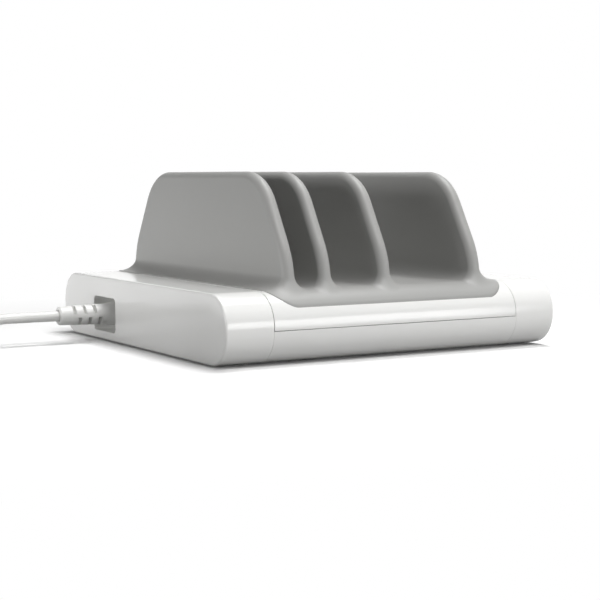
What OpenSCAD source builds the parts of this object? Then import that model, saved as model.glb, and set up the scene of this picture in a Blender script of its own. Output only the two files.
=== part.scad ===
// Charging station with a hinged lid, a grey divider moulding and a cable compartment.
// Millimetres. +X is the width, +Y runs to the back, +Z is up.
// The origin is at the bottom centre of the station, without its cord.

/* [Base] */
// Width over both end caps
base_w = 190; // [184:1:200]
// Depth from the nose to the back
base_d = 194.6; // [190:0.2:200]
// Height of the white top above the table
base_h = 34; // [33:0.5:36]
// Radius of the upper edge of the nose and of the back
edge_r_up = 16; // [14:0.5:16.5]
// Radius of the lower edge of the nose and of the back
edge_r_low = 15.5; // [13:0.5:15.5]
// Distance of the seams of the end caps from the middle
seam_x = 70.3; // [69:0.1:72]
// Height of the parting line between tray and lid
seam_z = 16.7; // [16:0.1:17.5]
// Wall of the mouldings
wall = 2.4; // [2:0.1:2.6]

/* [Divider] */
// Places of the four fins along the width
fin_x = [-54.5, -34.5, -0.5, 54.5];
// Thickness of a fin
fin_t = 7; // [6:0.2:8]
// Height of the fins above the table
fin_h = 89.3; // [80:0.1:96]
// Half width of the grey moulding
pad_x = 68; // [66:0.5:68.5]
// Reach of the grey moulding to the front and the back
pad_y = 94.7; // [93:0.1:95]

/* [Power inlet] */
// Place of the inlet along the depth
inlet_y = 40.8; // [36:0.2:44]
// Height of the inlet above the table
inlet_z = 14.6; // [14:0.2:15]
// Width of the recess round the plug
recess_w = 28.4; // [26:0.2:30]
// Height of the recess round the plug
recess_h = 18; // [17:0.5:19]

/* [Cord] */
// Thickness of the cord
cord_d = 5.4; // [5:0.1:5.6]

/* [Hidden] */
$fn = 64;

white = [0.95, 0.95, 0.94];
grey = [0.60, 0.60, 0.59];
steel = [0.75, 0.76, 0.78];
eps = 0.01;

foot_lift = 0.8;
low_z = foot_lift + edge_r_low;
up_z = base_h - edge_r_up;
half_d = base_d / 2;
lid_x = seam_x - 0.3;
lid_gap = 0.3;
lid_t = 3.2;
floor_z = foot_lift + wall;

hinge_y = half_d - 4;
hinge_z = up_z;
barrel_r = 4;
trough_r = 5;
pin_r = 1.5;
pin_bore_r = 1.55;
pin_in = 9;
pin_out = 8;
rib_x = 64;
rib_y = [-24, 8];
rib_t = 1.6;
rib_h = 2;
tab_x = 45;
tab_w = 16;
tab_y = -half_d + 3.3;
tab_t = 1.8;
tab_low_z = seam_z - 4.2;
tab_high_z = seam_z + 5.3;

pad_proud = 0.4;
pad_in = 1.6;
pad_low_z = 26.8;
pad_corner_r = 13;
pad_gap = 0.1;
lean = 30.7;
top_corner_r = 28.6;
knee_z = 56;
knee_y = 79.4;
knee_r = 42;
foot_h = 6.5;
foot_side = 6;
foot_outer = 10;
foot_end = 5.5;
bend_z = fin_h - top_corner_r * 0.55;
ring_steps = 4;
drop_top = 58;

board_z = 8;
board_t = 1.6;
board_x0 = -66.5;
board_x1 = -33.4;
board_y0 = -58;
board_y1 = 54;
cover_x1 = -31.5;
cover_y0 = -61;
cover_y1 = 57;
cover_z = 27;
cover_t = 1.6;
port_y = [-42, -14, 14, 42];
port_w = 13.2;
port_h = 5.8;
port_l = 14.2;
standoff = [[-62, -53], [-37, -53], [-62, 12], [-37, 27.8]];
cover_screw_at = [[-62, -44], [-62, 26]];
cleat_at = [[-5, -52], [40, -52], [-5, 8], [40, 8]];
vent_x = [-56, -36];
vent_y = [-36 : 4 : 4];
vent_w = 2;

cable_hole = [8, 14];
cable_hole_y = 66;
cable_hole_x = [for (i = [0:2]) (fin_x[i] + fin_x[i + 1]) / 2];

foot_at = [78, 72];
cap_screw_at = [[-78, 9], [-70, 26], [60, 26]];
insert_screw_y = 46;

recess_x = base_w / 2 - 14;
inlet_mid_z = 14.3;
boot_end_x = -121;
boot_tip_r = 4.9;
boot_root_r = 5.45;
plug_r = 6.3;
slot_pitch = 5.6;
slot_w = 1.7;
slot_core_r = 3.4;

coil_at = [-206, 5];
coil_r = 29.5;
row_h = cord_d * sqrt(3) / 2;
case_at = [-238, -73];
case_size = [40, 62, 28];
case_r = 5;
mains_pin_r = 2;
mains_pin_l = 19;
mains_pitch = 18.6;
adaptor_cord_z = 12;

// Points that the cord follows from its plug to the coil, and from the coil to the adaptor
lead_route = [
    [-119.5, 40.8, 14.6], [-128, 40.8, 14.6], [-140, 40.8, 14.6], [-152, 40.8, 14.4],
    [-161, 40.9, 12.8], [-170, 41.2, 9.6], [-180, 41.8, 5.8], [-184.4, 42.1, 4.7]
];
tail_route = [[-238.1, -19.6, 12.1], [-238, -25, 12], [-238, -31, 12]];

// A flat outline in Y and Z, carried along X
module along_x(x0, x1) {
    translate([x0, 0, 0]) rotate([90, 0, 90]) linear_extrude(x1 - x0) children();
}

// The section of the base: a block with rounded nose and back, moved inwards by inset
module base_outline(inset = 0) {
    translate([-half_d + inset, low_z]) square([base_d - 2 * inset, up_z - low_z]);
    translate([-half_d + edge_r_up, low_z])
        square([base_d - 2 * edge_r_up, base_h - inset - low_z]);
    translate([-half_d + edge_r_low, foot_lift + inset])
        square([base_d - 2 * edge_r_low, up_z - foot_lift - inset]);
    for (side = [-1, 1]) {
        translate([side * (half_d - edge_r_up), up_z]) circle(edge_r_up - inset);
        translate([side * (half_d - edge_r_low), low_z]) circle(edge_r_low - inset);
    }
}

module rod_x(x0, x1, r, y, z) {
    translate([x0, y, z]) rotate([0, 90, 0]) cylinder(h = x1 - x0, r = r);
}

module rod_z(z0, z1, r, x, y) {
    translate([x, y, z0]) cylinder(h = z1 - z0, r = r);
}

module block(low, high) {
    translate(low) cube(high - low);
}

// A plate with round corners in X and Y
module round_plate(low, high, r) {
    translate([0, 0, low[2]]) linear_extrude(high[2] - low[2]) {
        translate([low[0] + r, low[1]]) square([high[0] - low[0] - 2 * r, high[1] - low[1]]);
        translate([low[0], low[1] + r]) square([high[0] - low[0], high[1] - low[1] - 2 * r]);
        for (x = [low[0] + r, high[0] - r], y = [low[1] + r, high[1] - r])
            translate([x, y]) circle(r);
    }
}

// The lower half of the middle: floor, nose, back and two side walls, with its fixings
module base_tray() color(white) difference() {
    union() {
        intersection() {
            difference() {
                along_x(-seam_x, seam_x) base_outline();
                along_x(-seam_x + wall, seam_x - wall) base_outline(wall);
            }
            block([-seam_x, -half_d, 0], [seam_x, half_d, seam_z - lid_gap / 2]);
        }
        for (side = [-1, 1])
            translate([side * (seam_x - wall / 2), 0, 0])
                along_x(-wall / 2, wall / 2) base_outline(lid_t + lid_gap);
        for (p = standoff) rod_z(floor_z - eps, board_z, 3, p[0], p[1]);
        for (p = cleat_at) cable_cleat(p[0], p[1]);
        for (p = cover_screw_at) rod_z(floor_z - eps, cover_z - cover_t, 3, p[0], p[1]);
    }
    rod_x(-seam_x - 1, seam_x + 1, trough_r, hinge_y, hinge_z);
    block([-seam_x - 1, hinge_y, hinge_z], [seam_x + 1, half_d + 1, base_h]);
    for (p = standoff) rod_z(foot_lift + wall / 2, board_z + 1, 1.2, p[0], p[1]);
    for (p = cover_screw_at) rod_z(cover_z - 10, cover_z, 1.2, p[0], p[1]);
    for (side = [-1, 1], p = cap_screw_at)
        translate([side * seam_x, 0, 0]) rod_x(-wall - 1, wall + 1, 1.4, p[0], p[1]);
    block([-seam_x - 1, inlet_y - 9, board_z - 1], [-seam_x + wall + 1, inlet_y + 9, 21]);
    for (y = vent_y) block([vent_x[0], y - vent_w / 2, -1], [vent_x[1], y + vent_w / 2, floor_z + 1]);
}

// Posts to wind spare cable round, each with a round head
module cable_cleat(x, y) {
    rod_z(floor_z - eps, 24, 3.5, x, y);
    rod_z(22, 24, 7, x, y);
}

// Round seat for a foot, open downwards
module foot_seat(x, y) {
    rod_z(-1, foot_lift + 1, 7.2, x, y);
}

// One end cap, with its outer face at +X, a thin rounded edge and a hollow open to the middle
module end_cap() {
    end_x = base_w / 2;
    difference() {
        union() {
            along_x(seam_x, end_x - 1) base_outline();
            hull() {
                along_x(end_x - 1.05, end_x - 0.95) base_outline($fn = 96);
                along_x(end_x - 0.35, end_x - 0.3) base_outline(0.3, $fn = 96);
                along_x(end_x - 0.05, end_x) base_outline(1, $fn = 96);
            }
        }
        difference() {
            along_x(seam_x - 1, end_x - wall) base_outline(wall);
            rod_x(seam_x - 1, end_x, barrel_r, hinge_y, hinge_z);
            for (p = cap_screw_at) rod_x(seam_x, end_x, 3.2, p[0], p[1]);
            for (y = [-1, 1]) rod_z(0, foot_lift + wall + 1, 9, foot_at[0], y * foot_at[1]);
            children();
        }
        rod_x(seam_x - 1, seam_x + pin_out, pin_r, hinge_y, hinge_z);
        for (p = cap_screw_at) rod_x(seam_x - 1, seam_x + 9, 1.25, p[0], p[1]);
        for (y = [-1, 1]) foot_seat(foot_at[0], y * foot_at[1]);
    }
}

module recess_outline(grow = 0) {
    w = recess_w + 2 * grow;
    h = recess_h + 2 * grow;
    r = 2.5 + grow;
    translate([inlet_y - w / 2 + r, inlet_mid_z - h / 2]) square([w - 2 * r, h]);
    translate([inlet_y - w / 2, inlet_mid_z - h / 2 + r]) square([w, h - 2 * r]);
    for (s = [-1, 1], t = [-1, 1])
        translate([inlet_y + s * (w / 2 - r), inlet_mid_z + t * (h / 2 - r)]) circle(r);
}

module left_end_cap() color(white) difference() {
    mirror([1, 0, 0]) end_cap() along_x(recess_x - 1.8, base_w / 2) recess_outline(1.8);
    along_x(-base_w / 2 - 1, -recess_x) recess_outline();
    rod_x(-recess_x - 1, -recess_x + 3, 4.2, inlet_y, inlet_z);
}

module right_end_cap() color(white) end_cap();

module foot(x, y) color([0.25, 0.25, 0.26]) {
    rod_z(0, foot_lift + 1, 7, x, y);
}
module foot_front_left() foot(-foot_at[0], -foot_at[1]);
module foot_front_right() foot(foot_at[0], -foot_at[1]);
module foot_back_left() foot(-foot_at[0], foot_at[1]);
module foot_back_right() foot(foot_at[0], foot_at[1]);

// A pan-head screw along +Z with its head's underside at the origin
module screw(shank_r, shank_l, head_r, head_h) {
    difference() {
        union() {
            cylinder(h = head_h, r = head_r);
            translate([0, 0, -shank_l]) cylinder(h = shank_l + eps, r = shank_r);
        }
        for (a = [0, 90]) rotate([0, 0, a])
            translate([-head_r * 0.6, -0.3, head_h - 0.8]) cube([head_r * 1.2, 0.6, 1]);
    }
}

module cap_screws(side) color(steel)
    for (p = cap_screw_at)
        translate([side * (seam_x - wall), p[0], p[1]]) rotate([0, -side * 90, 0])
            screw(1.25, 10, 2.6, 1.6);
module left_cap_screws() cap_screws(-1);
module right_cap_screws() cap_screws(1);

module board_screws() color(steel)
    for (p = standoff) translate([p[0], p[1], board_z + board_t]) screw(1.2, 6, 2.4, 1.6);

module cover_screws() color(steel)
    for (p = cover_screw_at) translate([p[0], p[1], cover_z]) screw(1.2, 8, 2.4, 1.6);

// The printed board, with a tab under the power jack
module circuit_board() color([0.12, 0.42, 0.25]) difference() {
    union() {
        block([board_x0, board_y0, board_z], [board_x1, board_y1, board_z + board_t]);
        block([-77, inlet_y - 7, board_z], [board_x0 + 1, inlet_y + 7, board_z + board_t]);
    }
    for (p = standoff) rod_z(board_z - 1, board_z + board_t + 1, 1.3, p[0], p[1]);
    for (p = cover_screw_at) rod_z(board_z - 1, board_z + board_t + 1, 3.3, p[0], p[1]);
}

// A power socket for a cable plug: folded steel shell, open to +X, with its contact tongue
module usb_port(y) {
    x1 = cover_x1 - 0.3;
    z0 = board_z + board_t;
    color(steel) difference() {
        block([x1 - port_l, y - port_w / 2, z0], [x1, y + port_w / 2, z0 + port_h]);
        difference() {
            block([x1 - port_l + 3, y - port_w / 2 + 0.5, z0 + 0.5],
                [x1 + 1, y + port_w / 2 - 0.5, z0 + port_h - 0.5]);
            block([x1 - port_l, y - port_w / 2 + 1.2, z0 + 3],
                [x1 - 1, y + port_w / 2 - 1.2, z0 + 4.6]);
        }
    }
}
module usb_port_1() usb_port(port_y[0]);
module usb_port_2() usb_port(port_y[1]);
module usb_port_3() usb_port(port_y[2]);
module usb_port_4() usb_port(port_y[3]);

// The power jack behind the recess, with a bore for the plug's barrel and a centre contact
module dc_jack() color([0.12, 0.12, 0.13]) {
    x0 = -recess_x + 1.8;
    difference() {
        block([x0, inlet_y - 4.5, board_z + board_t], [x0 + 13, inlet_y + 4.5, inlet_z + 5]);
        rod_x(x0 - 1, x0 + 10, 2.85, inlet_y, inlet_z);
    }
    rod_x(x0 + 1, x0 + 11, 0.95, inlet_y, inlet_z);
}

module choke_coil() color([0.3, 0.3, 0.32]) difference() {
    rod_z(board_z + board_t, board_z + board_t + 7, 6.5, -56, -28);
    rod_z(board_z + board_t + 2, board_z + 20, 2.4, -56, -28);
}

module capacitor(x, y) color([0.2, 0.2, 0.24]) {
    rod_z(board_z + board_t, board_z + board_t + 10.5, 4, x, y);
}
module capacitor_left() capacitor(-57, -11);
module capacitor_right() capacitor(-57, 2);

module controller_chip() color([0.1, 0.1, 0.1])
    block([-56, 30, board_z + board_t], [-49, 37, board_z + board_t + 1.4]);

// A cover over the board, open to the left wall, with a window for each cable socket
module electronics_cover() color([0.86, 0.86, 0.85]) difference() {
    block([-seam_x + wall, cover_y0, floor_z], [cover_x1, cover_y1, cover_z]);
    block([-seam_x, cover_y0 + cover_t, floor_z - 1],
        [cover_x1 - cover_t, cover_y1 - cover_t, cover_z - cover_t]);
    for (y = port_y)
        block([cover_x1 - cover_t - 1, y - port_w / 2 - 0.3, board_z + board_t - 0.3],
            [cover_x1 + 1, y + port_w / 2 + 0.3, board_z + board_t + port_h + 0.3]);
    for (p = cover_screw_at) rod_z(cover_z - 5, cover_z + 1, 1.3, p[0], p[1]);
}

module hinge_pin(side) color(steel)
    translate([side * lid_x, 0, 0])
        rod_x(side > 0 ? -pin_in : -pin_out - lid_gap, side > 0 ? pin_out + lid_gap : pin_in,
            pin_r, hinge_y, hinge_z);
module hinge_pin_left() hinge_pin(-1);
module hinge_pin_right() hinge_pin(1);

// The outline of the grey moulding seen from above
module pad_plan(grow = 0) {
    x = pad_x + grow;
    y = pad_y + grow;
    r = pad_corner_r + grow;
    translate([-x + r, -y]) square([2 * (x - r), 2 * y]);
    translate([-x, -y + r]) square([2 * x, 2 * (y - r)]);
    for (i = [-1, 1], j = [-1, 1]) translate([i * (x - r), j * (y - r)]) circle(r);
}

// The band of the grey moulding that lies on the lid and over its nose and back
module pad_band(grow = 0) {
    intersection() {
        difference() {
            along_x(-pad_x - 1, pad_x + 1) base_outline(-pad_proud - grow);
            along_x(-pad_x - 2, pad_x + 2) base_outline(pad_in + grow);
        }
        translate([0, 0, pad_low_z - grow]) linear_extrude(20) pad_plan(grow);
    }
}

module cable_holes(grow = 0) {
    w = cable_hole[0] / 2 + grow;
    l = cable_hole[1] / 2 + grow;
    for (x = cable_hole_x)
        translate([x, cable_hole_y, 20]) linear_extrude(20) {
            translate([-w, -l + w]) square([2 * w, 2 * (l - w)]);
            for (j = [-1, 1]) translate([0, j * (l - w)]) circle(w);
        }
}

// A tab inside the lid's front edge that guides it into the tray
module lid_tab(x) {
    block([x - tab_w / 2, tab_y, tab_low_z], [x + tab_w / 2, tab_y + tab_t, tab_high_z]);
}

// The white lid: a shell over the middle with a barrel along its back edge
module lid_shell() color(white) difference() {
    union() {
        intersection() {
            difference() {
                along_x(-lid_x, lid_x) base_outline();
                along_x(-lid_x - 1, lid_x + 1) base_outline(lid_t);
            }
            union() {
                block([-lid_x, -half_d, seam_z + lid_gap / 2], [lid_x, hinge_y, base_h]);
                block([-lid_x, hinge_y - 5, hinge_z], [lid_x, half_d, base_h]);
            }
        }
        rod_x(-lid_x, lid_x, barrel_r, hinge_y, hinge_z);
        for (y = rib_y) block([-rib_x, y - rib_t / 2, base_h - lid_t - rib_h],
            [rib_x, y + rib_t / 2, base_h - lid_t + eps]);
        for (side = [-1, 1]) lid_tab(side * tab_x);
    }
    pad_band(pad_gap);
    for (side = [-1, 1])
        translate([side * lid_x, 0, 0]) rod_x(-pin_in - 1, pin_in + 1, pin_bore_r, hinge_y, hinge_z);
    cable_holes();
    for (x = fin_x, y = [-1, 1]) rod_z(base_h - lid_t - 1, base_h, 1.5, x, y * insert_screw_y);
}

// Front edge of a fin's side profile at height z, moved inwards by s: straight, with a large
// round corner at the top and a slow curve to upright at the foot
top_tan_z = fin_h - top_corner_r + top_corner_r * sin(lean);
straight_y = function(z) knee_y - (z - knee_z) * tan(lean);
corner_c_y = straight_y(top_tan_z) - top_corner_r * cos(lean);
function fin_edge(z, s) =
    let (
        slanted = straight_y(z) - s / cos(lean),
        r = top_corner_r - s,
        up = z - (fin_h - top_corner_r),
        knee_c_y = knee_y - knee_r * cos(lean),
        knee_c_z = knee_z - knee_r * sin(lean),
        low = max(0, z - knee_c_z)
    )
    up > r * sin(lean) ? corner_c_y + sqrt(max(0, r * r - up * up)) :
    z > knee_c_z + (knee_r - s) * sin(lean) ? slanted :
    knee_c_y + sqrt(max(0, pow(knee_r - s, 2) - low * low));

// Height of the moulding's surface at depth y, below its flat top
function nose_drop(y) =
    let (over = max(0, abs(y) - (half_d - edge_r_up)), r = edge_r_up + pad_proud)
    r - sqrt(max(0, r * r - over * over));

// One fin is a loft of level rings. Each ring has round ends, grows to a flared foot at the
// bottom, follows the nose there, and shrinks to a full round at the top.
fin_levels = [
    for (i = [0:5]) base_h + pad_proud - 1 + (foot_h + 1) * i / 6,
    for (i = [0:4]) base_h + pad_proud + foot_h + (bend_z - base_h - pad_proud - foot_h) * i / 5,
    for (i = [0:6]) fin_h - fin_t / 2 - (fin_h - fin_t / 2 - bend_z) * (1 - sin(i * 13.5)),
    for (i = [1:4]) fin_h - fin_t / 2 * (1 - sin(i * 21.5))
];

function flare(z) =
    let (h = min(1, max(0, (z - base_h - pad_proud) / foot_h)))
    1 - sqrt(max(0, 1 - (1 - h) * (1 - h)));

function fin_ring(x0, z, left, right) =
    let (
        r = fin_t / 2,
        widest = z > fin_h - r ? acos(min(1, 1 - (fin_h - z) / r)) : 90,
        g = flare(z),
        sink = min(1, max(0, (drop_top - z) / (drop_top - base_h - pad_proud)))
    )
    [for (end = [-1, 1], i = [-ring_steps:ring_steps])
        let (
            a = i * widest / ring_steps,
            s = r * (1 - cos(a)),
            side = i < 0 ? left : right,
            x = -end * (r * sin(a) + g * sin(a) * (end * i < 0 ? right : left)),
            y = end * (fin_edge(z, s) + g * foot_end * cos(a))
        )
        [x0 + x, y, z - nose_drop(y) * sink * sink]
    ];

// The ring's points pair up left and right, so its underside is a strip of flat pieces
module fin(x0, left, right) {
    rings = [for (z = fin_levels) fin_ring(x0, z, left, right)];
    n = len(rings[0]);
    m = len(rings);
    half = n / 2;
    polyhedron(
        points = [for (ring = rings) each ring],
        faces = concat(
            [for (end = [0, half], i = [0:ring_steps - 1])
                let (a = end + i, b = end + half - 1 - i)
                i == ring_steps - 1 ? [a, a + 1, b] : [a, a + 1, b - 1, b]],
            [[0, half - 1, half, n - 1]],
            [[for (i = [n - 1:-1:0]) (m - 1) * n + i]],
            [for (k = [0:m - 2], i = [0:n - 1])
                let (a = k * n + i, b = k * n + (i + 1) % n)
                each [[a, a + n, b], [b, a + n, b + n]]]
        )
    );
}

// The grey moulding: its band and the four fins in one piece
module divider_insert() color(grey) difference() {
    union() {
        pad_band();
        for (i = [0:3]) fin(fin_x[i], i == 0 ? foot_outer : foot_side, i == 3 ? foot_outer : foot_side);
    }
    cable_holes();
    for (x = fin_x, y = [-1, 1]) rod_z(base_h - lid_t, base_h + 9, 1.25, x, y * insert_screw_y);
}

module insert_screws() color(steel)
    for (x = fin_x, y = [-1, 1])
        translate([x, y * insert_screw_y, base_h - lid_t]) rotate([180, 0, 0]) screw(1.25, 10, 2.6, 1.6);

// The plug on the cord: a round body in the recess and a slotted strain relief outside it
module power_plug() color([0.88, 0.88, 0.88]) difference() {
    translate([0, inlet_y, inlet_z]) rotate([0, 90, 0]) rotate_extrude() polygon([
        [0, -recess_x - 0.2], [plug_r - 0.8, -recess_x - 0.2], [plug_r, -recess_x - 1],
        [plug_r, -base_w / 2 + 4], [plug_r - 0.5, -base_w / 2 + 1.5], [boot_root_r, -base_w / 2 - 1],
        [boot_tip_r, boot_end_x + 0.8], [boot_tip_r - 0.5, boot_end_x + 0.2],
        [boot_tip_r - 1, boot_end_x], [cord_d / 2 + 0.6, boot_end_x],
        [cord_d / 2 + 0.4, boot_end_x + 1.5], [0, boot_end_x + 1.5]
    ]);
    for (q = [0:3], i = [0:2])
        translate([-113.2 + i * slot_pitch + (q % 2) * slot_pitch / 2, inlet_y, inlet_z])
            rotate([0, 90, 0]) rotate([0, 0, q * 90 + 45 - 33])
                rotate_extrude(angle = 66) translate([slot_core_r, -slot_w / 2])
                    square([5, slot_w]);
}

module plug_barrel() color(steel) difference() {
    rod_x(-recess_x - 0.2, -recess_x + 10, 2.75, inlet_y, inlet_z);
    rod_x(-recess_x + 1, -recess_x + 11, 1.1, inlet_y, inlet_z);
}

// A round tube of radius r along the points of a route
function unit(v) = v / norm(v);
function tangent(route, i) =
    unit(route[min(i + 1, len(route) - 1)] - route[max(i - 1, 0)]);
module tube(route, r, sides = 10) {
    rings = [for (i = [0:len(route) - 1])
        let (
            t = tangent(route, i),
            across = unit(cross(t, [0, 0, 1])),
            up = cross(across, t)
        )
        for (k = [0:sides - 1])
            route[i] + r * (cos(360 * k / sides) * across + sin(360 * k / sides) * up)];
    m = len(route);
    polyhedron(
        points = rings,
        faces = concat(
            [[for (k = [sides - 1:-1:0]) k]],
            [[for (k = [0:sides - 1]) (m - 1) * sides + k]],
            [for (j = [0:m - 2], k = [0:sides - 1])
                let (a = j * sides + k, b = j * sides + (k + 1) % sides)
                each [[a, b, a + sides], [b, b + sides, a + sides]]]
        )
    );
}

module power_cord() color(white) tube(lead_route, cord_d / 2);
module adaptor_cord() color(white) tube(tail_route, cord_d / 2);

// Three rows of turns lying in a neat round coil
module cord_coil() color(white) translate([coil_at[0], coil_at[1], 0]) rotate_extrude() polygon([
    [coil_r - 2 * cord_d, 0], [coil_r + 2 * cord_d, 0], [coil_r + 2 * cord_d, cord_d],
    [coil_r + cord_d, cord_d + 2 * row_h], [coil_r - cord_d, cord_d + 2 * row_h],
    [coil_r - 2 * cord_d, cord_d]
]);

module cord_tie() color([0.2, 0.2, 0.2]) translate([coil_at[0] + coil_r, coil_at[1], 0])
    difference() {
        block([-12.4, -2.5, 0], [12.4, 2.5, cord_d + 2 * row_h + 1.4]);
        block([-11, -3, -1], [11, 3, cord_d + 2 * row_h + 0.3]);
    }

module adaptor_case() color(white)
    round_plate(
        [case_at[0] - case_size[0] / 2, case_at[1] - case_size[1] / 2, 0],
        [case_at[0] + case_size[0] / 2, case_at[1] + case_size[1] / 2, case_size[2]], case_r);

module adaptor_boot() color(white)
    translate([case_at[0], case_at[1] + case_size[1] / 2, adaptor_cord_z]) rotate([-90, 0, 0])
        cylinder(h = 11, r1 = 4.6, r2 = 3.4);

module adaptor_pins() color(steel)
    for (s = [-1, 1])
        rod_z(case_size[2], case_size[2] + mains_pin_l, mains_pin_r,
            case_at[0] + s * mains_pitch / 2, case_at[1] - 14);

base_tray();
left_end_cap();
right_end_cap();
electronics_cover();
circuit_board();
usb_port_1();
usb_port_2();
usb_port_3();
usb_port_4();
dc_jack();
choke_coil();
capacitor_left();
capacitor_right();
controller_chip();
foot_front_left();
foot_front_right();
foot_back_left();
foot_back_right();
hinge_pin_left();
hinge_pin_right();
left_cap_screws();
right_cap_screws();
board_screws();
cover_screws();
lid_shell();
divider_insert();
insert_screws();
power_plug();
plug_barrel();
power_cord();
cord_coil();
cord_tie();
adaptor_cord();
adaptor_case();
adaptor_boot();
adaptor_pins();
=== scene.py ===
"""Charging station: white gloss base, hinged lid with a soft grey divider, and a white mains lead.

Everything is worked out in millimetres in the part's own frame and put into meshes in metres.
"""

import math

import bmesh
import bpy
import numpy as np
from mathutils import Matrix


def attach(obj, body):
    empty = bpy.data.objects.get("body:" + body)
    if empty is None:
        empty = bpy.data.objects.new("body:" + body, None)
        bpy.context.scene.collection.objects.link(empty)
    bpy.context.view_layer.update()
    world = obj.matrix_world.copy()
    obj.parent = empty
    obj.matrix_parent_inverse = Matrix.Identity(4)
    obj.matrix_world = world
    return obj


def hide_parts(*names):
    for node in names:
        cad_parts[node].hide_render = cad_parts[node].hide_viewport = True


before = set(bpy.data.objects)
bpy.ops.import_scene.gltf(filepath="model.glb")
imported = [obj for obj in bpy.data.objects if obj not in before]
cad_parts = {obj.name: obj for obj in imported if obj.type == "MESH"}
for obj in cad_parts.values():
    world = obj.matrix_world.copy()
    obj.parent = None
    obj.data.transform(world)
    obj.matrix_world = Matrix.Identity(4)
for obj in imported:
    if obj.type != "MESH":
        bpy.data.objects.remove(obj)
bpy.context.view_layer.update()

MM = 0.001
MERGE = 0.002

# The base, as in the part's source
HALF_W = 95.0
HALF_D = 97.3
BASE_H = 34.0
FOOT_LIFT = 0.8
UP_R = 16.0
LOW_R = 15.5
SEAM_X = 70.3
WALL = 2.4
CAP_EDGE_R = 1.0

# How far outwards, and how far in, the end caps' rounded edge at the seam goes
SEAM_EDGE = ((0, 0.22), (0.06, 0.12), (0.16, 0.03), (0.3, 0))

# The recess for the plug in the left end cap
INLET_Y = 40.8
INLET_Z = 14.6
RECESS_MID_Z = 14.3
RECESS_W = 28.4
RECESS_H = 18.0
RECESS_R = 2.5
RECESS_X = 81.0
RECESS_WALL = 1.8
RECESS_END_R = 0.8
MOUTH_R = 0.5

# The band of the grey divider
PAD_X = 68.0
PAD_Y = 94.7
PAD_CORNER = 13.0
PAD_PROUD = 0.4
PAD_DEEP = 1.6
PAD_EDGE_R = 0.55
FLOOR_Z = BASE_H + PAD_PROUD

# Its fins
FIN_X = (-54.5, -34.5, -0.5, 54.5)
FIN_R = 3.5
FIN_H = 89.3
LEAN = math.radians(30.7)
TOP_R = 28.6
KNEE_Y = 79.4
KNEE_Z = 56.0
KNEE_R = 42.0
FOOT_H = 6.5
FOOT_SIDE = 6.0
FOOT_OUTER = 10.0
FOOT_END = 5.5
DROP_TOP = 58.0

# The cable holes in the floors of the slots
CABLE_X = (-44.5, -17.5, 27.0)
CABLE_Y = 66.0
CABLE_W = 8.0
CABLE_L = 14.0
CABLE_EDGE_R = 0.6

# The plug: its tip, and the slots of its strain relief
TIP_X = -121.0
TIP_MOUTH = ((-119.2, 2.9), (-120.7, 3.1), (-120.93, 3.3), (TIP_X, 3.6))
TIP_ROUND = (TIP_X, -120.93, -120.8, -120.55, -120.3)
BODY_X = -96.0
ROOT_X = -81.2
SLOT_X = -113.2
SLOT_STEP = 5.6
SLOT_STAGGER = 2.8
SLOT_HALF = 0.92
SLOT_TURN = math.radians(33.5)
SLOT_CORE_LOW = 1.2
SLOT_CORE_HIGH = 2.4

# The cord
CORD_D = 5.4
CORD_STEP = 1.8
ROW_H = CORD_D * math.sqrt(3) / 2
LEAD_ROUTE = (
    (-119.5, 40.8, 14.6), (-128, 40.8, 14.6), (-140, 40.8, 14.6), (-152, 40.8, 14.4),
    (-161, 40.9, 12.8), (-170, 41.2, 9.6), (-180, 41.8, 5.8), (-190, 42.3, 3.4),
    (-198, 42.5, 2.8),
)
TAIL_ROUTE = (
    (-238.2, -4, 12.1), (-238.1, -13, 12.1), (-238, -22, 12), (-238, -31, 12), (-238, -34, 12),
)

# The coil: its place, and the radius and the row of each turn
COIL_X = -207.6
COIL_Y = 5.0
COIL_OUTER = 37.6
COIL_INNER = 24.1
COIL_TOP = 32.2
COIL_TURNS = 7.25
TURN_RADII = (
    COIL_OUTER, COIL_OUTER - CORD_D, COIL_OUTER - 2 * CORD_D, COIL_OUTER - 3 * CORD_D,
    COIL_INNER, COIL_INNER + CORD_D, COIL_INNER + 2 * CORD_D, COIL_TOP, COIL_TOP,
)
TURN_ROWS = (0, 0, 0, 0, 1, 1, 1, 2, 2)

# The adaptor, lying on its back
CASE_X = -238.0
CASE_Y = -73.0
CASE_HALF_W = 20.0
CASE_HALF_L = 31.0
CASE_H = 28.0
CASE_EDGE_R = 3.0
CASE_CORNER = 5.0
BOOT_Y = -42.4
BOOT_Z = 12.0
BOOT_L = 11.0
PIN_Y = -87.0
PIN_OFF = 9.3

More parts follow.
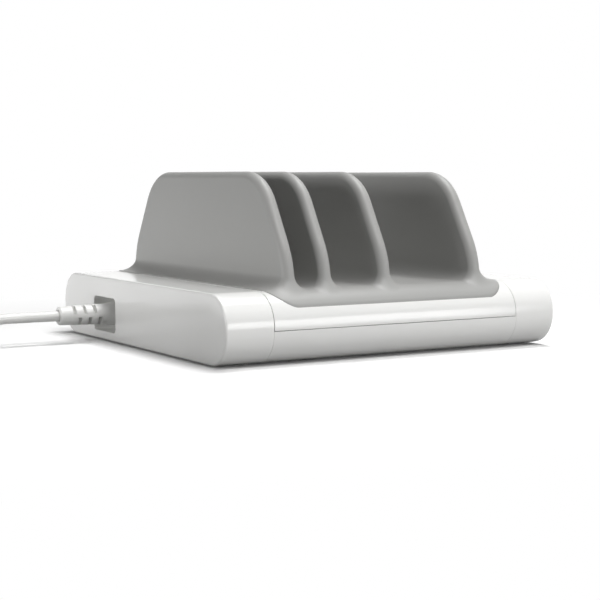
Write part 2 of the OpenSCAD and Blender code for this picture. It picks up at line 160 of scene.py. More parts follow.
# Every finish: colour, darker colour, roughness, its spread, grain a metre, bump, metallic
FINISHES = {
    "white_gloss": ((243, 243, 241), (240, 240, 238), 0.14, 0.03, 700.0, 0.01, 0.0),
    "soft_grey": ((163, 163, 161), (158, 158, 156), 0.44, 0.08, 2600.0, 0.1, 0.0),
    "pale_grey_plastic": ((214, 214, 211), (208, 208, 206), 0.42, 0.1, 1800.0, 0.2, 0.0),
    "board_green": ((24, 92, 58), (18, 78, 48), 0.35, 0.1, 900.0, 0.1, 0.0),
    "port_steel": ((196, 198, 200), (186, 188, 190), 0.28, 0.1, 1500.0, 0.05, 1.0),
    "black_plastic": ((30, 30, 32), (24, 24, 26), 0.45, 0.1, 1600.0, 0.15, 0.0),
    "choke_grey": ((72, 72, 76), (60, 60, 64), 0.6, 0.1, 1200.0, 0.3, 0.0),
    "capacitor_sleeve": ((44, 46, 66), (38, 40, 58), 0.35, 0.1, 900.0, 0.05, 0.0),
    "foot_rubber": ((58, 58, 58), (50, 50, 50), 0.75, 0.1, 2200.0, 0.3, 0.0),
    "steel": ((190, 192, 196), (178, 180, 184), 0.3, 0.12, 1500.0, 0.06, 1.0),
    "plug_white": ((244, 244, 242), (238, 238, 236), 0.3, 0.08, 1500.0, 0.1, 0.0),
    "plug_metal": ((206, 206, 204), (196, 196, 194), 0.22, 0.1, 1200.0, 0.03, 1.0),
    "cord_white": ((242, 242, 240), (237, 237, 235), 0.22, 0.08, 1200.0, 0.08, 0.0),
    "tie_grey": ((70, 70, 72), (58, 58, 60), 0.8, 0.1, 1400.0, 0.6, 0.0),
}
PLASTIC_IOR = 1.5
GRAIN_DEPTH = 0.0004
DRIFT_SCALE = 14.0

# The solids that are shown as they are, by finish
SHOWN_SOLIDS = {
    "white_gloss": ("base_tray", "lid_shell"),
    "pale_grey_plastic": ("electronics_cover",),
    "board_green": ("circuit_board",),
    "port_steel": ("usb_port_1", "usb_port_2", "usb_port_3", "usb_port_4"),
    "black_plastic": ("dc_jack", "controller_chip"),
    "choke_grey": ("choke_coil",),
    "capacitor_sleeve": ("capacitor_left", "capacitor_right"),
    "foot_rubber": ("foot_front_left", "foot_front_right", "foot_back_left", "foot_back_right"),
    "steel": ("hinge_pin_left", "hinge_pin_right", "left_cap_screws", "right_cap_screws",
              "board_screws", "cover_screws", "insert_screws"),
    "plug_metal": ("plug_barrel",),
}

# The light: the level of the white ground, and what the world adds to soft shadows
WHITE_OUT = 1.0
FILL = 0.04


def make_camera():
    """The photograph's view: 84 mm lens on a 36 mm sensor, a little above the table."""
    lens = bpy.data.cameras.new("view_camera")
    lens.lens = 84.0
    lens.sensor_width = 36.0
    lens.clip_start = 0.01
    lens.clip_end = 50.0
    camera = bpy.data.objects.new("view_camera", lens)
    camera.location = (-0.3842, -0.6456, 0.0860)
    camera.rotation_euler = (math.radians(85.03), 0.0, math.radians(-30.84))
    bpy.context.scene.collection.objects.link(camera)
    bpy.context.scene.camera = camera


def skin(points, ends="both"):
    """Quads over rows of points, each row running once round.

    Quad (i, j) joins the points (i, j), (i, j + 1), (i + 1, j + 1) and (i + 1, j), and after
    the last column comes the first. A fan of triangles to a row's mean closes the "first" row,
    or "both" end rows. With "joined" the first row follows the last.
    """
    rows, columns = points.shape[:2]
    index = np.arange(rows * columns).reshape(rows, columns)
    index = np.column_stack([index, index[:, :1]])
    if ends == "joined":
        index = np.vstack([index, index[:1]])
    quads = np.stack([index[:-1, :-1], index[:-1, 1:], index[1:, 1:], index[1:, :-1]], axis=-1)
    corners = points.reshape(-1, 3)
    faces = quads.reshape(-1, 4).tolist()
    closed = {"joined": (), "first": (0,), "both": (0, rows - 1)}
    for row in closed[ends]:
        middle = len(corners)
        corners = np.vstack([corners, points[row].mean(axis=0)])
        ring = index[row]
        fan = np.stack([ring[:-1], ring[1:], np.full(len(ring) - 1, middle)], axis=-1)
        faces += fan.tolist()
    return corners, faces


def clean(mesh, merge):
    """Merges points nearer than a distance and turns every face outwards."""
    shape = bmesh.new()
    shape.from_mesh(mesh)
    bmesh.ops.remove_doubles(shape, verts=shape.verts, dist=merge)
    bmesh.ops.recalc_face_normals(shape, faces=shape.faces)
    shape.to_mesh(mesh)
    shape.free()


def build(name, parts, finish, slot, body, stands_for, sharp=35.0):
    """One object from several skins, smooth up to an angle, in the finish of its slot."""
    corners = []
    faces = []
    start = 0
    for points, part_faces in parts:
        corners.append(points)
        faces += [[i + start for i in face] for face in part_faces]
        start += len(points)
    mesh = bpy.data.meshes.new(name)
    mesh.from_pydata((np.vstack(corners) * MM).tolist(), [], faces)
    clean(mesh, MERGE * MM)
    mesh.shade_smooth()
    mesh.set_sharp_from_angle(angle=math.radians(sharp))
    mesh.materials.append(finish[slot])
    piece = bpy.data.objects.new(name, mesh)
    bpy.context.scene.collection.objects.link(piece)
    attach(piece, body)
    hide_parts(*stands_for)
    return piece


def level_tops(piece, steepest=0.4):
    """Shades the level faces flat, within an angle in degrees, so that cuts leave no streak."""
    faces = piece.data.polygons
    normals = np.empty(len(faces) * 3)
    faces.foreach_get("normal", normals)
    smooth = np.abs(normals[2::3]) < math.cos(math.radians(steepest))
    faces.foreach_set("use_smooth", smooth)


def arc(centre, radius, start, stop, count):
    """An arc in a plane: centre + radius (cos a, sin a), with a between two angles in degrees."""
    angle = np.radians(np.linspace(start, stop, count))
    return np.column_stack(
        [centre[0] + radius * np.cos(angle), centre[1] + radius * np.sin(angle)]
    )


def turned(profile, centre, axis, count=40):
    """Rows of (radius r, distance d) turned round a line: d along it, r cos a and r sin a off."""
    profile = np.asarray(profile, float)
    angle = np.linspace(0, 2 * np.pi, count, endpoint=False)
    side = profile[:, :1] * np.cos(angle)
    other = profile[:, :1] * np.sin(angle)
    along = np.repeat(profile[:, 1:], count, axis=1)
    order = {"y": (other, along, side), "z": (side, other, along)}
    return np.stack(order[axis], axis=-1) + np.asarray(centre, float)


def round_rect(half_x, half_y, radius, count=9):
    """A rectangle's outline, anticlockwise: a quarter circle at each corner."""
    corners = [
        arc((sx * (half_x - radius), sy * (half_y - radius)), radius, a, a + 90, count)
        for sx, sy, a in ((1, 1, 0), (-1, 1, 90), (-1, -1, 180), (1, -1, 270))
    ]
    return np.vstack(corners)


def base_section(inset, count=60):
    """The base's outline in Y and Z, moved inwards: four arcs joined by straight lines."""
    up_z = BASE_H - UP_R
    low_z = FOOT_LIFT + LOW_R
    return np.vstack([
        arc((HALF_D - UP_R, up_z), UP_R - inset, 0, 90, count),
        arc((UP_R - HALF_D, up_z), UP_R - inset, 90, 180, count),
        arc((LOW_R - HALF_D, low_z), LOW_R - inset, 180, 270, count),
        arc((HALF_D - LOW_R, low_z), LOW_R - inset, 270, 360, count),
    ])


def recess_section(grow, count=14):
    """The recess's outline in Y and Z, made larger by grow."""
    outline = round_rect(RECESS_W / 2 + grow, RECESS_H / 2 + grow, RECESS_R + grow, count)
    return outline + (INLET_Y, RECESS_MID_Z)


def angles_of(outline):
    """The angle of each point of an outline, seen from the recess's middle."""
    off = outline - (INLET_Y, RECESS_MID_Z)
    return np.arctan2(off[:, 1], off[:, 0]) % (2 * np.pi)


def seen_from(outline, angles):
    """Where rays at these angles from the recess's middle meet an outline.

    Y and Z are each read off the outline's points as a line over their angle.
    """
    at = angles_of(outline)
    order = np.argsort(at)
    return np.column_stack(
        [np.interp(angles, at[order], outline[order, k], period=2 * np.pi) for k in (0, 1)]
    )


def cap_angles():
    """Every angle at which either outline of an end cap has a point."""
    found = [angles_of(base_section(0, 24)), angles_of(recess_section(0))]
    found.append(np.linspace(0, 2 * np.pi, 72, endpoint=False))
    return np.unique(np.round(np.concatenate(found), 5))


def end_cap_rings(with_recess):
    """Rows of (distance outwards, share of the recess's outline, inset or growth).

    The cap is one closed wall: its hollow, its rim at the seam, its outside with a rounded
    edge, its end face and, on the left, the recess. Each rounded edge is a quarter circle,
    r sin a one way and r (1 - cos a) the other.
    """
    quarter = np.radians(np.linspace(0, 90, 10))
    hollow_end = HALF_W - WALL
    rows = []
    if with_recess:
        rows += [(RECESS_X - RECESS_WALL, 1, RECESS_WALL), (hollow_end, 1, RECESS_WALL)]
    rows += [(hollow_end, 0, WALL), (SEAM_X + 0.2, 0, WALL), (SEAM_X, 0, WALL - 0.2)]
    rows += [(SEAM_X + out, 0, inset) for out, inset in SEAM_EDGE]
    rows += [(x, 0, 0) for x in (SEAM_X + 1.5, 80, HALF_W - 2.5)]
    rows += [(HALF_W - CAP_EDGE_R + CAP_EDGE_R * math.sin(a), 0,
              CAP_EDGE_R - CAP_EDGE_R * math.cos(a)) for a in quarter]
    if with_recess:
        rows += [(HALF_W, share, CAP_EDGE_R) for share in (0.1, 0.4, 0.7)]
        rows += [(HALF_W - MOUTH_R + MOUTH_R * math.cos(a), 1,
                  MOUTH_R - MOUTH_R * math.sin(a)) for a in quarter]
        rows += [(RECESS_X + 7, 1, 0), (RECESS_X + RECESS_END_R, 1, 0)]
        rows += [(RECESS_X + RECESS_END_R - RECESS_END_R * math.sin(a), 1,
                  -RECESS_END_R + RECESS_END_R * math.cos(a)) for a in quarter]
    return rows


def end_cap(side):
    """An end cap: each row is (1 - share) of the base's outline and share of the recess's."""
    angles = cap_angles()
    rings = []
    for x, share, amount in end_cap_rings(side < 0):
        inset = amount if share < 1 else CAP_EDGE_R
        grow = amount if share == 1 else MOUTH_R
        section = (1 - share) * seen_from(base_section(inset), angles)
        section += share * seen_from(recess_section(grow), angles)
        rings.append(np.column_stack([np.full(len(angles), side * x), section]))
    return skin(np.stack(rings))


def hole_ring(x0, grow, z, count=12):
    """A cable hole's outline at one height: two half circles, one behind the other."""
    half = CABLE_L / 2 - CABLE_W / 2
    r = CABLE_W / 2 + grow
    outline = np.vstack([arc((x0, CABLE_Y + half), r, 0, 180, count),
                         arc((x0, CABLE_Y - half), r, 180, 360, count)])
    return np.column_stack([outline, np.full(len(outline), z)])


def hole_lining(x0):
    """A closed plug in the shape of a cable hole, to be taken away from the divider.

    It widens towards its mouth as a quarter circle: r (1 - cos a) out and r sin a up.
    """
    below = 4.0
    above = 2.0
    r = CABLE_EDGE_R
    rows = [(0, FLOOR_Z - below), (0, FLOOR_Z - r)]
    rows += [(r * (1 - math.cos(a)), FLOOR_Z - r + r * math.sin(a))
             for a in np.radians(np.linspace(15, 90, 6))]
    rows += [(r, FLOOR_Z + above)]
    return skin(np.stack([hole_ring(x0, grow, z) for grow, z in rows]))


def draft(name, part):
    """A working object from one skin, in millimetres, that is gone before the end."""
    points, faces = part
    mesh = bpy.data.meshes.new(name)
    mesh.from_pydata(points.tolist(), [], faces)
    clean(mesh, MERGE)
    body = bpy.data.objects.new(name, mesh)
    bpy.context.scene.collection.objects.link(body)
    return body


def with_holes(part, places):
    """The same skin with the cable holes at these places taken out of it."""
    body = draft("uncut", part)
    for x0 in places:
        tool = draft("hole", hole_lining(x0))
        cut = body.modifiers.new("cable_hole", "BOOLEAN")
        cut.operation = "DIFFERENCE"
        cut.solver = "EXACT"
        cut.object = tool
        graph = bpy.context.evaluated_depsgraph_get()
        mesh = bpy.data.meshes.new_from_object(body.evaluated_get(graph))
        body.modifiers.clear()
        body.data = mesh
        bpy.data.objects.remove(tool)
    points = np.empty(len(mesh.vertices) * 3)
    mesh.vertices.foreach_get("co", points)
    faces = [list(face.vertices) for face in mesh.polygons]
    bpy.data.objects.remove(body)
    return points.reshape(-1, 3), faces


def nose_height(y, proud):
    """Height of the base's top at depth y, raised by proud.

    It is flat, then falls as a circle of radius R = UP_R + proud at the nose and the back:
    z = BASE_H - UP_R + sqrt(R^2 - d^2), where d is how far y lies past the circle's centre.
    """
    radius = UP_R + proud
    past = np.clip(np.abs(y) - (HALF_D - UP_R), 0, radius - 0.01)
    return BASE_H - UP_R + np.sqrt(radius ** 2 - past ** 2)


def pad_band():
    """The grey band: its round-cornered outline drawn inwards ring by ring over the nose.

    The rings run outwards along the underside, up the wall and back inwards along the top,
    whose edge is a quarter circle: in by r (1 - cos a) and down by r (1 - sin a).
    """
    turn = np.radians(np.linspace(0, 90, 8))[1:]
    inner = np.concatenate([np.linspace(0.8, 12.6, 26), [13.2, 16, 30, 50]])
    under = np.full(len(inner) + 1, PAD_DEEP + PAD_PROUD)
    insets = np.concatenate([inner[::-1], [0, 0], PAD_EDGE_R * (1 - np.cos(turn)), inner])
    sunk = np.concatenate([under, [PAD_EDGE_R], PAD_EDGE_R * (1 - np.sin(turn)),
                           np.zeros(len(inner))])
    rings = []
    for inset, low in zip(insets, sunk):
        corner = max(PAD_CORNER - inset, 0.3)
        outline = round_rect(PAD_X - inset, PAD_Y - inset, corner, 22)
        z = nose_height(outline[:, 1], PAD_PROUD) - low
        rings.append(np.column_stack([outline, z]))
    return skin(np.stack(rings))


def fin_edge(z, s):
    """Depth of a fin's edge at height z, moved inwards by s.

    From the top: a circle of radius TOP_R - s, the straight slope, which leans in by LEAN,
    and a circle of radius KNEE_R - s that ends upright.
    """
    slope = math.tan(LEAN)
    corner_z = FIN_H - TOP_R
    tangent_z = corner_z + TOP_R * math.sin(LEAN)
    corner_y = KNEE_Y - (tangent_z - KNEE_Z) * slope - TOP_R * math.cos(LEAN)
    knee_y = KNEE_Y - KNEE_R * math.cos(LEAN)
    knee_z = KNEE_Z - KNEE_R * math.sin(LEAN)
    up = z - corner_z
    low = np.maximum(0, z - knee_z)
    slanted = KNEE_Y - (z - KNEE_Z) * slope - s / math.cos(LEAN)
    corner = corner_y + np.sqrt(np.maximum(0, (TOP_R - s) ** 2 - up ** 2))
    knee = knee_y + np.sqrt(np.maximum(0, (KNEE_R - s) ** 2 - low ** 2))
    edge = np.where(z > knee_z + (KNEE_R - s) * math.sin(LEAN), slanted, knee)
    return np.where(up > (TOP_R - s) * math.sin(LEAN), corner, edge)


def fin_levels():
    """The heights of a fin's rings, closest together in its foot and at its round top."""
    bend = FIN_H - TOP_R * 0.55
    shoulder = FIN_H - FIN_R
    foot = FLOOR_Z + FOOT_H * (1 - np.cos(np.linspace(0, np.pi / 2, 15)))
    return np.concatenate([
        [FLOOR_Z - 0.6, FLOOR_Z - 0.2], foot, np.linspace(FLOOR_Z + FOOT_H, bend, 22)[1:],
        shoulder - (shoulder - bend) * (1 - np.sin(np.linspace(0, np.pi / 2, 16)))[1:],
        FIN_H - FIN_R * (1 - np.sin(np.linspace(0, np.pi / 2, 14)))[1:],
    ])


def fin(x0, left, right):
    """A fin as level rings: full-round edges, a foot that flares as a quarter circle.

    At height z a ring's end is a half turn of a; the edge moves in by r (1 - cos a) and the
    side out by r sin a. The foot adds 1 - sqrt(1 - (1 - h)^2), and sinks with the nose.
    """
    z = fin_levels()[:, None]
    widest = np.where(z > FIN_H - FIN_R, np.arccos(np.clip(1 - (FIN_H - z) / FIN_R, -1, 1)),
                      np.pi / 2)
    turn = np.linspace(-1, 1, 33)[None, :] * widest
    s = FIN_R * (1 - np.cos(turn))
    h = np.clip((z - FLOOR_Z) / FOOT_H, 0, 1)
    flare = 1 - np.sqrt(np.maximum(0, 1 - (1 - h) ** 2))
    sink = np.clip((DROP_TOP - z) / (DROP_TOP - FLOOR_Z), 0, 1) ** 2
    ends = []
    for end in (-1, 1):
        wide = np.where(turn * end < 0, right, left)
        x = x0 - end * (FIN_R * np.sin(turn) + flare * np.sin(turn) * wide)
        y = end * (fin_edge(z, s) + flare * FOOT_END * np.cos(turn))
        drop = FLOOR_Z - nose_height(y, PAD_PROUD)
        ends.append(np.stack([x, y, z - drop * sink], axis=-1))
    return skin(np.concatenate(ends, axis=1), "first")


def divider():
    """The grey moulding: its band and four fins, the outer sides with wider feet."""
    parts = [with_holes(pad_band(), CABLE_X)]
    for i, x0 in enumerate(FIN_X):
        left = FOOT_OUTER if i == 0 else FOOT_SIDE
        right = FOOT_OUTER if i == len(FIN_X) - 1 else FOOT_SIDE
        part = fin(x0, left, right)
        near = [x for x in CABLE_X if abs(x - x0) < FIN_R + FOOT_SIDE + CABLE_W / 2]
        parts.append(with_holes(part, near) if near else part)
    return parts


def plug_profile(x):
    """Radius of the plug and its tapered strain relief at x, read off a line of points."""
    places = (-121.0, -120.8, -120.3, -96.0, -94.0, -91.0, -82.0, -81.6, -81.2)
    radii = (3.9, 4.4, 4.85, 5.45, 5.8, 6.3, 6.3, 6.1, 5.5)
    return np.interp(x, places, radii)


def power_plug():
    """The plug turned round its axis, with three slots in each quarter of the strain relief.

    A slot lowers the radius to its core where x is within SLOT_HALF of the slot's middle and
    the angle within SLOT_TURN of the quarter's middle, with steep walls. Slots in neighbouring
    quarters stand SLOT_STAGGER apart. A point is y = INLET_Y + r sin a, z = INLET_Z - r cos a.
    """
    steep_x = 0.14
    steep_turn = math.radians(1.5)
    x = np.concatenate([TIP_ROUND, np.arange(-120.0, BODY_X, 0.13),
                        np.linspace(BODY_X, ROOT_X, 30)])
    angle = np.linspace(0, 2 * np.pi, 144, endpoint=False)
    quarter = np.floor(angle / (np.pi / 2))
    off = np.abs(angle - (quarter + 0.5) * np.pi / 2)
    across = np.clip((SLOT_TURN - off) / steep_turn, 0, 1)
    first = np.where(quarter % 2 == 0, SLOT_X, SLOT_X + SLOT_STAGGER)
    middles = [x[:, None] - (first + i * SLOT_STEP)[None, :] for i in range(3)]
    gap = np.min(np.abs(middles), axis=0)
    along = np.clip((SLOT_HALF - gap) / steep_x, 0, 1)
    outer = plug_profile(x)[:, None]
    core = np.where(np.cos(angle) > 0, SLOT_CORE_LOW, SLOT_CORE_HIGH)
    radius = outer - (outer - core[None, :]) * along * across[None, :]
    mouth = np.array(TIP_MOUTH)
    x = np.concatenate([mouth[:, 0], x])
    radius = np.vstack([np.repeat(mouth[:, 1:], len(angle), axis=1), radius])
    y = INLET_Y + radius * np.sin(angle)
    z = INLET_Z - radius * np.cos(angle)
    return skin(np.stack([np.repeat(x[:, None], len(angle), axis=1), y, z], axis=-1))


def smooth_route(points, step):
    """A cubic line through the points, its slope at each the mean of its neighbours'.

    Between points p and q with slopes u and v, h apart, at share t it is
    (2t^3 - 3t^2 + 1) p + (t^3 - 2t^2 + t) h u + (3t^2 - 2t^3) q + (t^3 - t^2) h v.
    """
    points = np.asarray(points, float)
    gaps = np.linalg.norm(np.diff(points, axis=0), axis=1)
    knots = np.concatenate([[0], np.cumsum(gaps)])
    slopes = np.gradient(points, knots, axis=0)
    at = np.linspace(0, knots[-1], int(knots[-1] / 0.5) + 1)
    i = np.clip(np.searchsorted(knots, at, side="right") - 1, 0, len(gaps) - 1)
    h = gaps[i][:, None]
    t = ((at - knots[i]) / gaps[i])[:, None]
    line = (
        (2 * t ** 3 - 3 * t ** 2 + 1) * points[i] + (t ** 3 - 2 * t ** 2 + t) * h * slopes[i]
        + (3 * t ** 2 - 2 * t ** 3) * points[i + 1] + (t ** 3 - t ** 2) * h * slopes[i + 1]
    )
    run = np.concatenate([[0], np.cumsum(np.linalg.norm(np.diff(line, axis=0), axis=1))])
    even = np.linspace(0, run[-1], int(run[-1] / step) + 1)
    return np.column_stack([np.interp(even, run, line[:, k]) for k in range(3)])


def coil_points():
    """The wound part: circles in rows, each turn stepping to its neighbour over its last fifth.

    Four turns lie on the table, three in the hollows between them, a quarter on top. The step
    goes as t^2 (3 - 2t), and over it a turn that crosses others rises by 0.72 sin(pi t).
    """
    step_from = 0.8
    crossing = 0.72
    first_crossing = 4
    radii = np.array(TURN_RADII)
    heights = np.array(TURN_ROWS) * ROW_H + CORD_D / 2
    turn = np.arange(0, COIL_TURNS + 1e-6, 1 / 30)
    i = turn.astype(int)
    t = np.clip((turn - i - step_from) / (1 - step_from), 0, 1)
    t = t * t * (3 - 2 * t)
    radius = radii[i] + (radii[i + 1] - radii[i]) * t
    height = heights[i] + (heights[i + 1] - heights[i]) * t
    height += np.where(i >= first_crossing, crossing, 0) * np.sin(np.pi * t)
    angle = np.pi / 2 + 2 * np.pi * turn
    return np.column_stack(
        [COIL_X + radius * np.cos(angle), COIL_Y + radius * np.sin(angle), height]
    )


def cord_route():
    """Out of the plug, down to the table, round the coil and up into the adaptor."""
    return smooth_route(np.vstack([LEAD_ROUTE, coil_points(), TAIL_ROUTE]), CORD_STEP)


def tube(line, radius, count=16):
    """A round tube: at each point of the line r cos a across it and r sin a above it."""
    ahead = np.gradient(line, axis=0)
    ahead /= np.linalg.norm(ahead, axis=1)[:, None]
    across = np.cross(ahead, (0, 0, 1))
    across /= np.linalg.norm(across, axis=1)[:, None]
    up = np.cross(across, ahead)
    angle = np.linspace(0, 2 * np.pi, count, endpoint=False)
    ring = np.cos(angle)[:, None] * across[:, None, :] + np.sin(angle)[:, None] * up[:, None, :]
    return skin(line[:, None, :] + radius * ring)


def cord_tie():
    """A flat strap wound close round the coil's section.

    It is a small round-cornered outline carried round a loop, and the loop's corners are
    softened by a mean over seven neighbours.
    """
    low = 0.05
    width = 11.1
    top = CORD_D + ROW_H + 0.3
    outline = np.array([(-width, low), (width, low), (width + 0.4, 2.7), (width - 0.1, 5.2),
                        (8.6, 8.4), (6.4, top), (-6.4, top), (-8.6, 8.4), (-width + 0.1, 5.2),
                        (-width - 0.4, 2.7)])
    loop = np.vstack([outline, outline[:1]])
    run = np.concatenate([[0], np.cumsum(np.linalg.norm(np.diff(loop, axis=0), axis=1))])
    at = np.linspace(0, run[-1], 96, endpoint=False)
    loop = np.column_stack([np.interp(at, run, loop[:, k]) for k in (0, 1)])
    loop = sum(np.roll(loop, shift, axis=0) for shift in range(-3, 4)) / 7
    ahead = np.roll(loop, -1, axis=0) - np.roll(loop, 1, axis=0)
    ahead /= np.linalg.norm(ahead, axis=1)[:, None]
    out = np.column_stack([ahead[:, 1], -ahead[:, 0]])
    strap = round_rect(0.55, 2.5, 0.4, 5)
    x = COIL_X + 29.5 + loop[:, :1] + out[:, :1] * strap[None, :, 0]
    z = np.maximum(loop[:, 1:] + out[:, 1:] * strap[None, :, 0], 0.02)
    y = COIL_Y + np.repeat(strap[None, :, 1], len(loop), axis=0)
    return skin(np.stack([x, y, z], axis=-1), "joined")


def adaptor_case():
    """The adaptor's case as level outlines, each inset by its own amount.

    The inset is r (1 - sin a) up the lower edge, r (1 - cos a) up the upper one, and a little
    at the parting groove.
    """
    quarter = np.radians(np.linspace(0, 90, 9))
    groove = 0.35
    r = CASE_EDGE_R
    rows = [(r * (1 - math.sin(a)), r * (1 - math.cos(a))) for a in quarter]
    rows += [(0, 5), (0, 18.6), (groove, 18.75), (groove, 19.25), (0, 19.4), (0, 24)]
    rows += [(r * (1 - math.cos(a)), CASE_H - r + r * math.sin(a)) for a in quarter]
    rings = []
    for inset, z in rows:
        corner = max(CASE_CORNER - inset, 1.5)
        outline = round_rect(CASE_HALF_W - inset, CASE_HALF_L - inset, corner, 10)
        rings.append(np.column_stack([outline + (CASE_X, CASE_Y), np.full(len(outline), z)]))
    return skin(np.stack(rings))


def adaptor_boot():
    """The adaptor's strain relief: a cone, with a groove round it every 2.4 mm."""
    pitch = 2.4
    y = np.arange(0, BOOT_L + 0.01, 0.2)
    radius = 4.6 - 1.2 * y / BOOT_L
    groove = np.clip((0.45 - np.abs((y - 2.6 + pitch / 2) % pitch - pitch / 2)) / 0.2, 0, 1)
    radius = radius - 0.7 * groove * ((y > 1.6) & (y < 9.4))
    profile = np.column_stack([radius, y + BOOT_Y])
    profile = np.vstack([profile, [(3.0, -31.15), (2.75, -31.6)]])
    return skin(turned(profile, (CASE_X, 0, BOOT_Z), "y"))


def adaptor_pin(side):
    """A round mains pin with a domed tip and a collar at its root."""
    dome = [(2.0 * math.cos(a), 45.4 + 1.6 * math.sin(a)) for a in np.radians(range(0, 90, 9))]
    profile = [(3.4, 27.6), (3.4, 28.3), (3.1, 28.6), (2.0, 28.6)] + dome + [(0.02, 47.0)]
    return skin(turned(profile, (CASE_X + side * PIN_OFF, PIN_Y, 0), "z"))


def srgb(*levels):
    """A colour written as 0 to 255 levels, as the linear values that a shader takes."""
    out = []
    for level in levels:
        v = level / 255
        out.append(v / 12.92 if v <= 0.04045 else ((v + 0.055) / 1.055) ** 2.4)
    return (*out, 1.0)


class Wire:
    """One output socket of a node tree: sums and products on it add Math nodes."""

    def __init__(self, tree, socket=None):
        self.tree = tree
        self.socket = socket

    def node(self, kind, settings=None, values=None, output=0):
        """Any node: its settings are set first, then the values or links of its sockets."""
        made = self.tree.nodes.new(kind)
        for key, value in (settings or {}).items():
            setattr(made, key, value)
        for key, value in (values or {}).items():
            if isinstance(value, Wire):
                self.tree.links.new(value.socket, made.inputs[key])
            else:
                made.inputs[key].default_value = value
        return Wire(self.tree, made.outputs[output] if len(made.outputs) else None)

    def math(self, operation, a, b):
        """A Math node on two wires or numbers."""
        return self.node("ShaderNodeMath", {"operation": operation}, {0: a, 1: b})

    def __add__(self, other):
        return self.math("ADD", self, other)

    __radd__ = __add__

    def __sub__(self, other):
        return self.math("SUBTRACT", self, other)

    def __rsub__(self, other):
        return self.math("SUBTRACT", other, self)

    def __mul__(self, other):
        return self.math("MULTIPLY", self, other)

    __rmul__ = __mul__


def new_tree(name):
    """An empty material and the wire that starts its nodes."""
    material = bpy.data.materials.new(name)
    material.use_nodes = True
    material.node_tree.nodes.clear()
    return material, Wire(material.node_tree)


def noise(tree, where, scale, detail=3.0, rough=0.5):
    """Blender's noise at a scale in repeats a metre, from 0 to 1."""
    return tree.node("ShaderNodeTexNoise", None, {
        "Vector": where, "Scale": scale, "Detail": detail, "Roughness": rough})


def blend(tree, factor, one, other):
    """A Mix node on two colours: its colour sockets are the inputs 6 and 7 and the output 2."""
    return tree.node("ShaderNodeMix", {"data_type": "RGBA"}, {
        "Factor": factor, 6: one, 7: other}, output=2)


def smooth_step(tree, value, start, stop, top=1.0):
    """A wire that rises smoothly from 0 to top while value goes from start to stop."""
    return tree.node("ShaderNodeMapRange", {"interpolation_type": "SMOOTHSTEP"}, {
        "Value": value, "From Min": start, "From Max": stop, "To Min": 0.0, "To Max": top})


def ray_kinds(tree):
    """Three wires, 1 for a ray from the camera, off a mirror and through glass, else 0."""
    kinds = ("Is Camera Ray", "Is Glossy Ray", "Is Transmission Ray")
    return [tree.node("ShaderNodeLightPath", output=kind) for kind in kinds]


def moulded(name, colour, darker, rough, spread, grain, bump, metallic):
    """A finish: a faint drift between two shades, uneven gloss and a fine grain.

    Roughness is rough + spread (n - 0.5), where n is the noise that also makes the bump.
    """
    material, tree = new_tree(name)
    where = tree.node("ShaderNodeTexCoord", output="Object")
    drift = noise(tree, where, DRIFT_SCALE)
    grains = noise(tree, where, grain, 4.0, 0.6)
    normal = tree.node("ShaderNodeBump", None, {
        "Strength": bump, "Distance": GRAIN_DEPTH, "Height": grains})
    shader = tree.node("ShaderNodeBsdfPrincipled", None, {
        "Base Color": blend(tree, drift, srgb(*colour), srgb(*darker)),
        "Roughness": (grains - 0.5) * spread + rough,
        "Metallic": metallic, "IOR": PLASTIC_IOR, "Normal": normal})
    tree.node("ShaderNodeOutputMaterial", None, {"Surface": shader})
    return material


def floor_material():
    """White ground that keeps the shadows near the station.

    Its grey is 0.34 for the lamps' light, 0.78 more for the camera and 0.3 more for mirrors.
    Far from the station it glows plain white, for the camera, mirrors and glass only.
    """
    material, tree = new_tree("floor_white")
    seen, mirrored, through = ray_kinds(tree)
    shown = tree.node("ShaderNodeMath", {"operation": "ADD", "use_clamp": True}, {
        0: seen + mirrored, 1: through})
    where = tree.node("ShaderNodeTexCoord", output="Object")
    centred = tree.node("ShaderNodeMapping", None, {
        "Vector": where, "Location": (0.06, 0, 0), "Scale": (0.74, 1.0, 1.0)})
    reach = tree.node("ShaderNodeVectorMath", {"operation": "LENGTH"}, {0: centred},
                      output="Value")
    far = smooth_step(tree, reach, 0.15, 0.32)
    level = 0.34 + seen * 0.78 + mirrored * 0.3
    grey = tree.node("ShaderNodeCombineXYZ", None, {0: level, 1: level, 2: level})
    near = tree.node("ShaderNodeBsdfDiffuse", None, {"Color": grey})
    plain = tree.node("ShaderNodeEmission", None, {"Color": (1, 1, 1, 1), "Strength": WHITE_OUT})
    both = tree.node("ShaderNodeMixShader", None, {0: far * shown, 1: near, 2: plain})
    tree.node("ShaderNodeOutputMaterial", None, {"Surface": both})
    return material


def make_floor():
    """A wide white floor."""
    size = 12.0
    mesh = bpy.data.meshes.new("floor")
    mesh.from_pydata([(-size, -size, 0), (size, -size, 0), (size, size, 0), (-size, size, 0)],
                     [], [[0, 1, 2, 3]])
    mesh.materials.append(floor_material())
    floor = bpy.data.objects.new("floor", mesh)
    bpy.context.scene.collection.objects.link(floor)


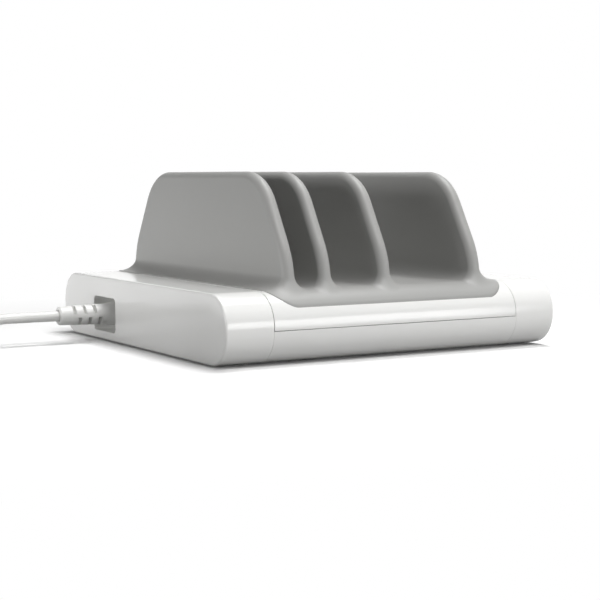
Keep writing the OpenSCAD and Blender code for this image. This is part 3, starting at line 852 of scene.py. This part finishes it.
def make_world():
    """A world that is white for the camera and glass, and gives a little light all round.

    In mirrors it is white too, but dim high up on the left, so that the gloss has a dark side.
    """
    world = bpy.data.worlds.new("studio")
    bpy.context.scene.world = world
    world.use_nodes = True
    world.node_tree.nodes.clear()
    tree = Wire(world.node_tree)
    seen, mirrored, through = ray_kinds(tree)
    where = tree.node("ShaderNodeTexCoord", output="Generated")
    height = tree.node("ShaderNodeSeparateXYZ", None, {0: where}, output="Z")
    aside = tree.node("ShaderNodeSeparateXYZ", None, {0: where}, output="X")
    above = smooth_step(tree, height, 0.12, 0.3)
    left = smooth_step(tree, aside, 0.4, 0.1, 0.85)
    dome = WHITE_OUT - above * left
    plain = (seen + through) * (WHITE_OUT - FILL) + mirrored * (dome - FILL) + FILL
    shown = tree.node("ShaderNodeBackground", None, {"Color": (1, 1, 1, 1), "Strength": plain})
    tree.node("ShaderNodeOutputWorld", None, {"Surface": shown})


def area_lamp(name, place, aim, width, height, power):
    """A soft rectangular lamp at a place, turned towards a point."""
    lamp = bpy.data.lights.new(name, "AREA")
    lamp.shape = "RECTANGLE"
    lamp.size = width
    lamp.size_y = height
    lamp.energy = power
    stand = bpy.data.objects.new(name, lamp)
    stand.location = place
    away = np.asarray(aim, float) - np.asarray(place, float)
    yaw = math.atan2(away[1], away[0]) - math.pi / 2
    pitch = math.atan2(away[2], math.hypot(away[0], away[1]))
    stand.rotation_euler = (math.pi / 2 + pitch, 0.0, yaw)
    stand.visible_camera = False
    bpy.context.scene.collection.objects.link(stand)


def make_lamps():
    """Two lamps overhead, a low one in front, a wide one on the left, a glow on the floor."""
    station = (0, 0, 0.05)
    area_lamp("roof_lamp", (0.22, 0.05, 0.95), station, 0.42, 0.42, 5.8)
    area_lamp("front_lamp", (0.02, -0.6, 0.9), station, 0.5, 0.4, 4.6)
    area_lamp("low_lamp", (0.56, -1.52, 0.24), station, 1.1, 0.46, 9.2)
    area_lamp("left_lamp", (-1.3, 0.1, 0.2), station, 0.9, 0.45, 6.8)
    area_lamp("floor_glow", (-0.57, 0.62, 0.003), (-0.57, 0.62, 1.0), 1.0, 1.0, 2.0)


def make_station(finish):
    """The pieces that stand for solids, and the cord with what is on it."""
    build("left_cap", [end_cap(-1)], finish, "white_gloss", "base", ["left_end_cap"])
    build("right_cap", [end_cap(1)], finish, "white_gloss", "base", ["right_end_cap"])
    level_tops(build("divider", divider(), finish, "soft_grey", "lid", ["divider_insert"], 50.0))
    plug = build("plug", [power_plug()], finish, "plug_white", "base", ["power_plug"], 40.0)
    route = cord_route()
    lead = build("mains_lead", [tube(route, CORD_D / 2)], finish, "cord_white", "base",
                 ["power_cord", "cord_coil", "adaptor_cord"])
    tie = build("tie", [cord_tie()], finish, "tie_grey", "base", ["cord_tie"])
    case = build("adaptor", [adaptor_case()], finish, "plug_white", "base", ["adaptor_case"])
    boot = build("adaptor_relief", [adaptor_boot()], finish, "plug_white", "base",
                 ["adaptor_boot"])
    pins = build("mains_pins", [adaptor_pin(-1), adaptor_pin(1)], finish, "plug_metal", "base",
                 ["adaptor_pins"])


def dress_solids(finish):
    """Each shown solid takes its finish; fine facets are smoothed and edges kept."""
    for name, nodes in SHOWN_SOLIDS.items():
        for node in nodes:
            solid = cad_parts[node]
            solid.data.materials.clear()
            solid.data.materials.append(finish[name])
            weld = solid.modifiers.new("weld", "WELD")
            weld.merge_threshold = MERGE * MM
            split = solid.modifiers.new("edges", "EDGE_SPLIT")
            split.split_angle = math.radians(28)
            even = solid.modifiers.new("even", "WEIGHTED_NORMAL")
            even.keep_sharp = True


make_camera()
finish = {name: moulded(name, *values) for name, values in FINISHES.items()}
make_station(finish)
dress_solids(finish)
make_floor()
make_world()
make_lamps()
bpy.context.scene.view_settings.view_transform = "Standard"
